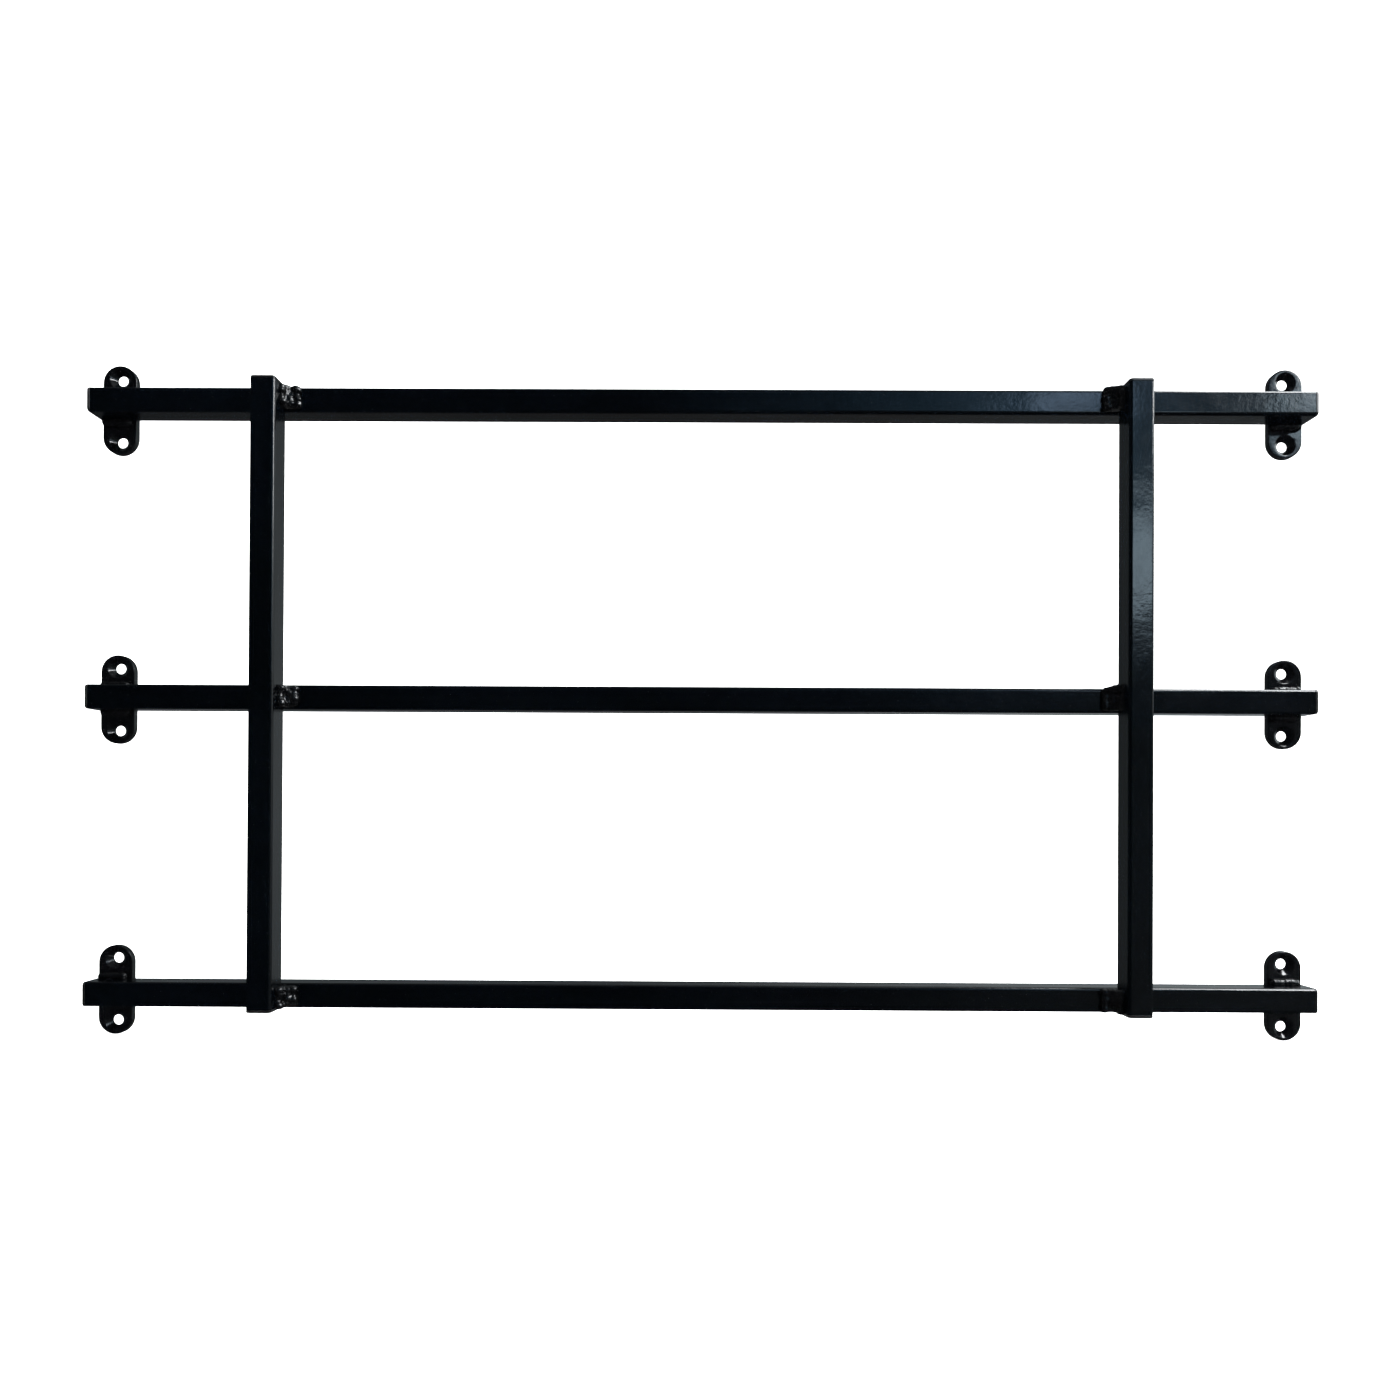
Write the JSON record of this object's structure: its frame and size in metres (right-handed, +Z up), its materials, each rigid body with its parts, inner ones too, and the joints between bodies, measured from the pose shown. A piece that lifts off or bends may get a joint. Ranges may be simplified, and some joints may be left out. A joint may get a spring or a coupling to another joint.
{
  "type": "window security bar",
  "caption": "Fixed window grille: level square bars with uprights welded across the front and countersunk fixing lugs behind the bar ends.",
  "frame": {"origin": "centre of the wall plane: the plane of the lugs' back faces, midway between the left and right lugs and on the middle bar's centre line", "axes": "+X to the viewer's right along the bars, -Y towards the viewer (the room or street side, from which the screws are driven), +Z up along the uprights; the wall is on the +Y side"},
  "size_m": [1, 0.045, 0.558],
  "materials": {
    "tube_paint": "gloss black paint on square steel tube, slightly orange-peeled",
    "lug_paint": "gloss black paint on steel plate",
    "weld_paint": "gloss black paint over rippled hand-laid weld",
    "cap_plastic": "satin black moulded plastic"
  },
  "bodies": {
    "root": {"top_bar": "tube_paint", "middle_bar": "tube_paint", "bottom_bar": "tube_paint", "left_upright": "tube_paint", "right_upright": "tube_paint", "top_left_lug": "lug_paint", "middle_left_lug": "lug_paint", "bottom_left_lug": "lug_paint", "top_right_lug": "lug_paint", "middle_right_lug": "lug_paint", "bottom_right_lug": "lug_paint", "top_left_bar_cap": "cap_plastic", "middle_left_bar_cap": "cap_plastic", "bottom_left_bar_cap": "cap_plastic", "top_right_bar_cap": "cap_plastic", "middle_right_bar_cap": "cap_plastic", "bottom_right_bar_cap": "cap_plastic", "left_upright_top_cap": "cap_plastic", "left_upright_bottom_cap": "cap_plastic", "right_upright_top_cap": "cap_plastic", "right_upright_bottom_cap": "cap_plastic", "top_left_inner_weld": "weld_paint", "middle_left_inner_weld": "weld_paint", "bottom_left_inner_weld": "weld_paint", "top_right_inner_weld": "weld_paint", "middle_right_inner_weld": "weld_paint", "bottom_right_inner_weld": "weld_paint", "top_left_outer_weld": "weld_paint", "middle_left_outer_weld": "weld_paint", "bottom_left_outer_weld": "weld_paint", "top_right_outer_weld": "weld_paint", "middle_right_outer_weld": "weld_paint", "bottom_right_outer_weld": "weld_paint", "top_left_lug_weld_above": "weld_paint", "middle_left_lug_weld_above": "weld_paint", "bottom_left_lug_weld_above": "weld_paint", "top_right_lug_weld_above": "weld_paint", "middle_right_lug_weld_above": "weld_paint", "bottom_right_lug_weld_above": "weld_paint", "top_left_lug_weld_below": "weld_paint", "middle_left_lug_weld_below": "weld_paint", "bottom_left_lug_weld_below": "weld_paint", "top_right_lug_weld_below": "weld_paint", "middle_right_lug_weld_below": "weld_paint", "bottom_right_lug_weld_below": "weld_paint"}
  },
  "joints": []
}
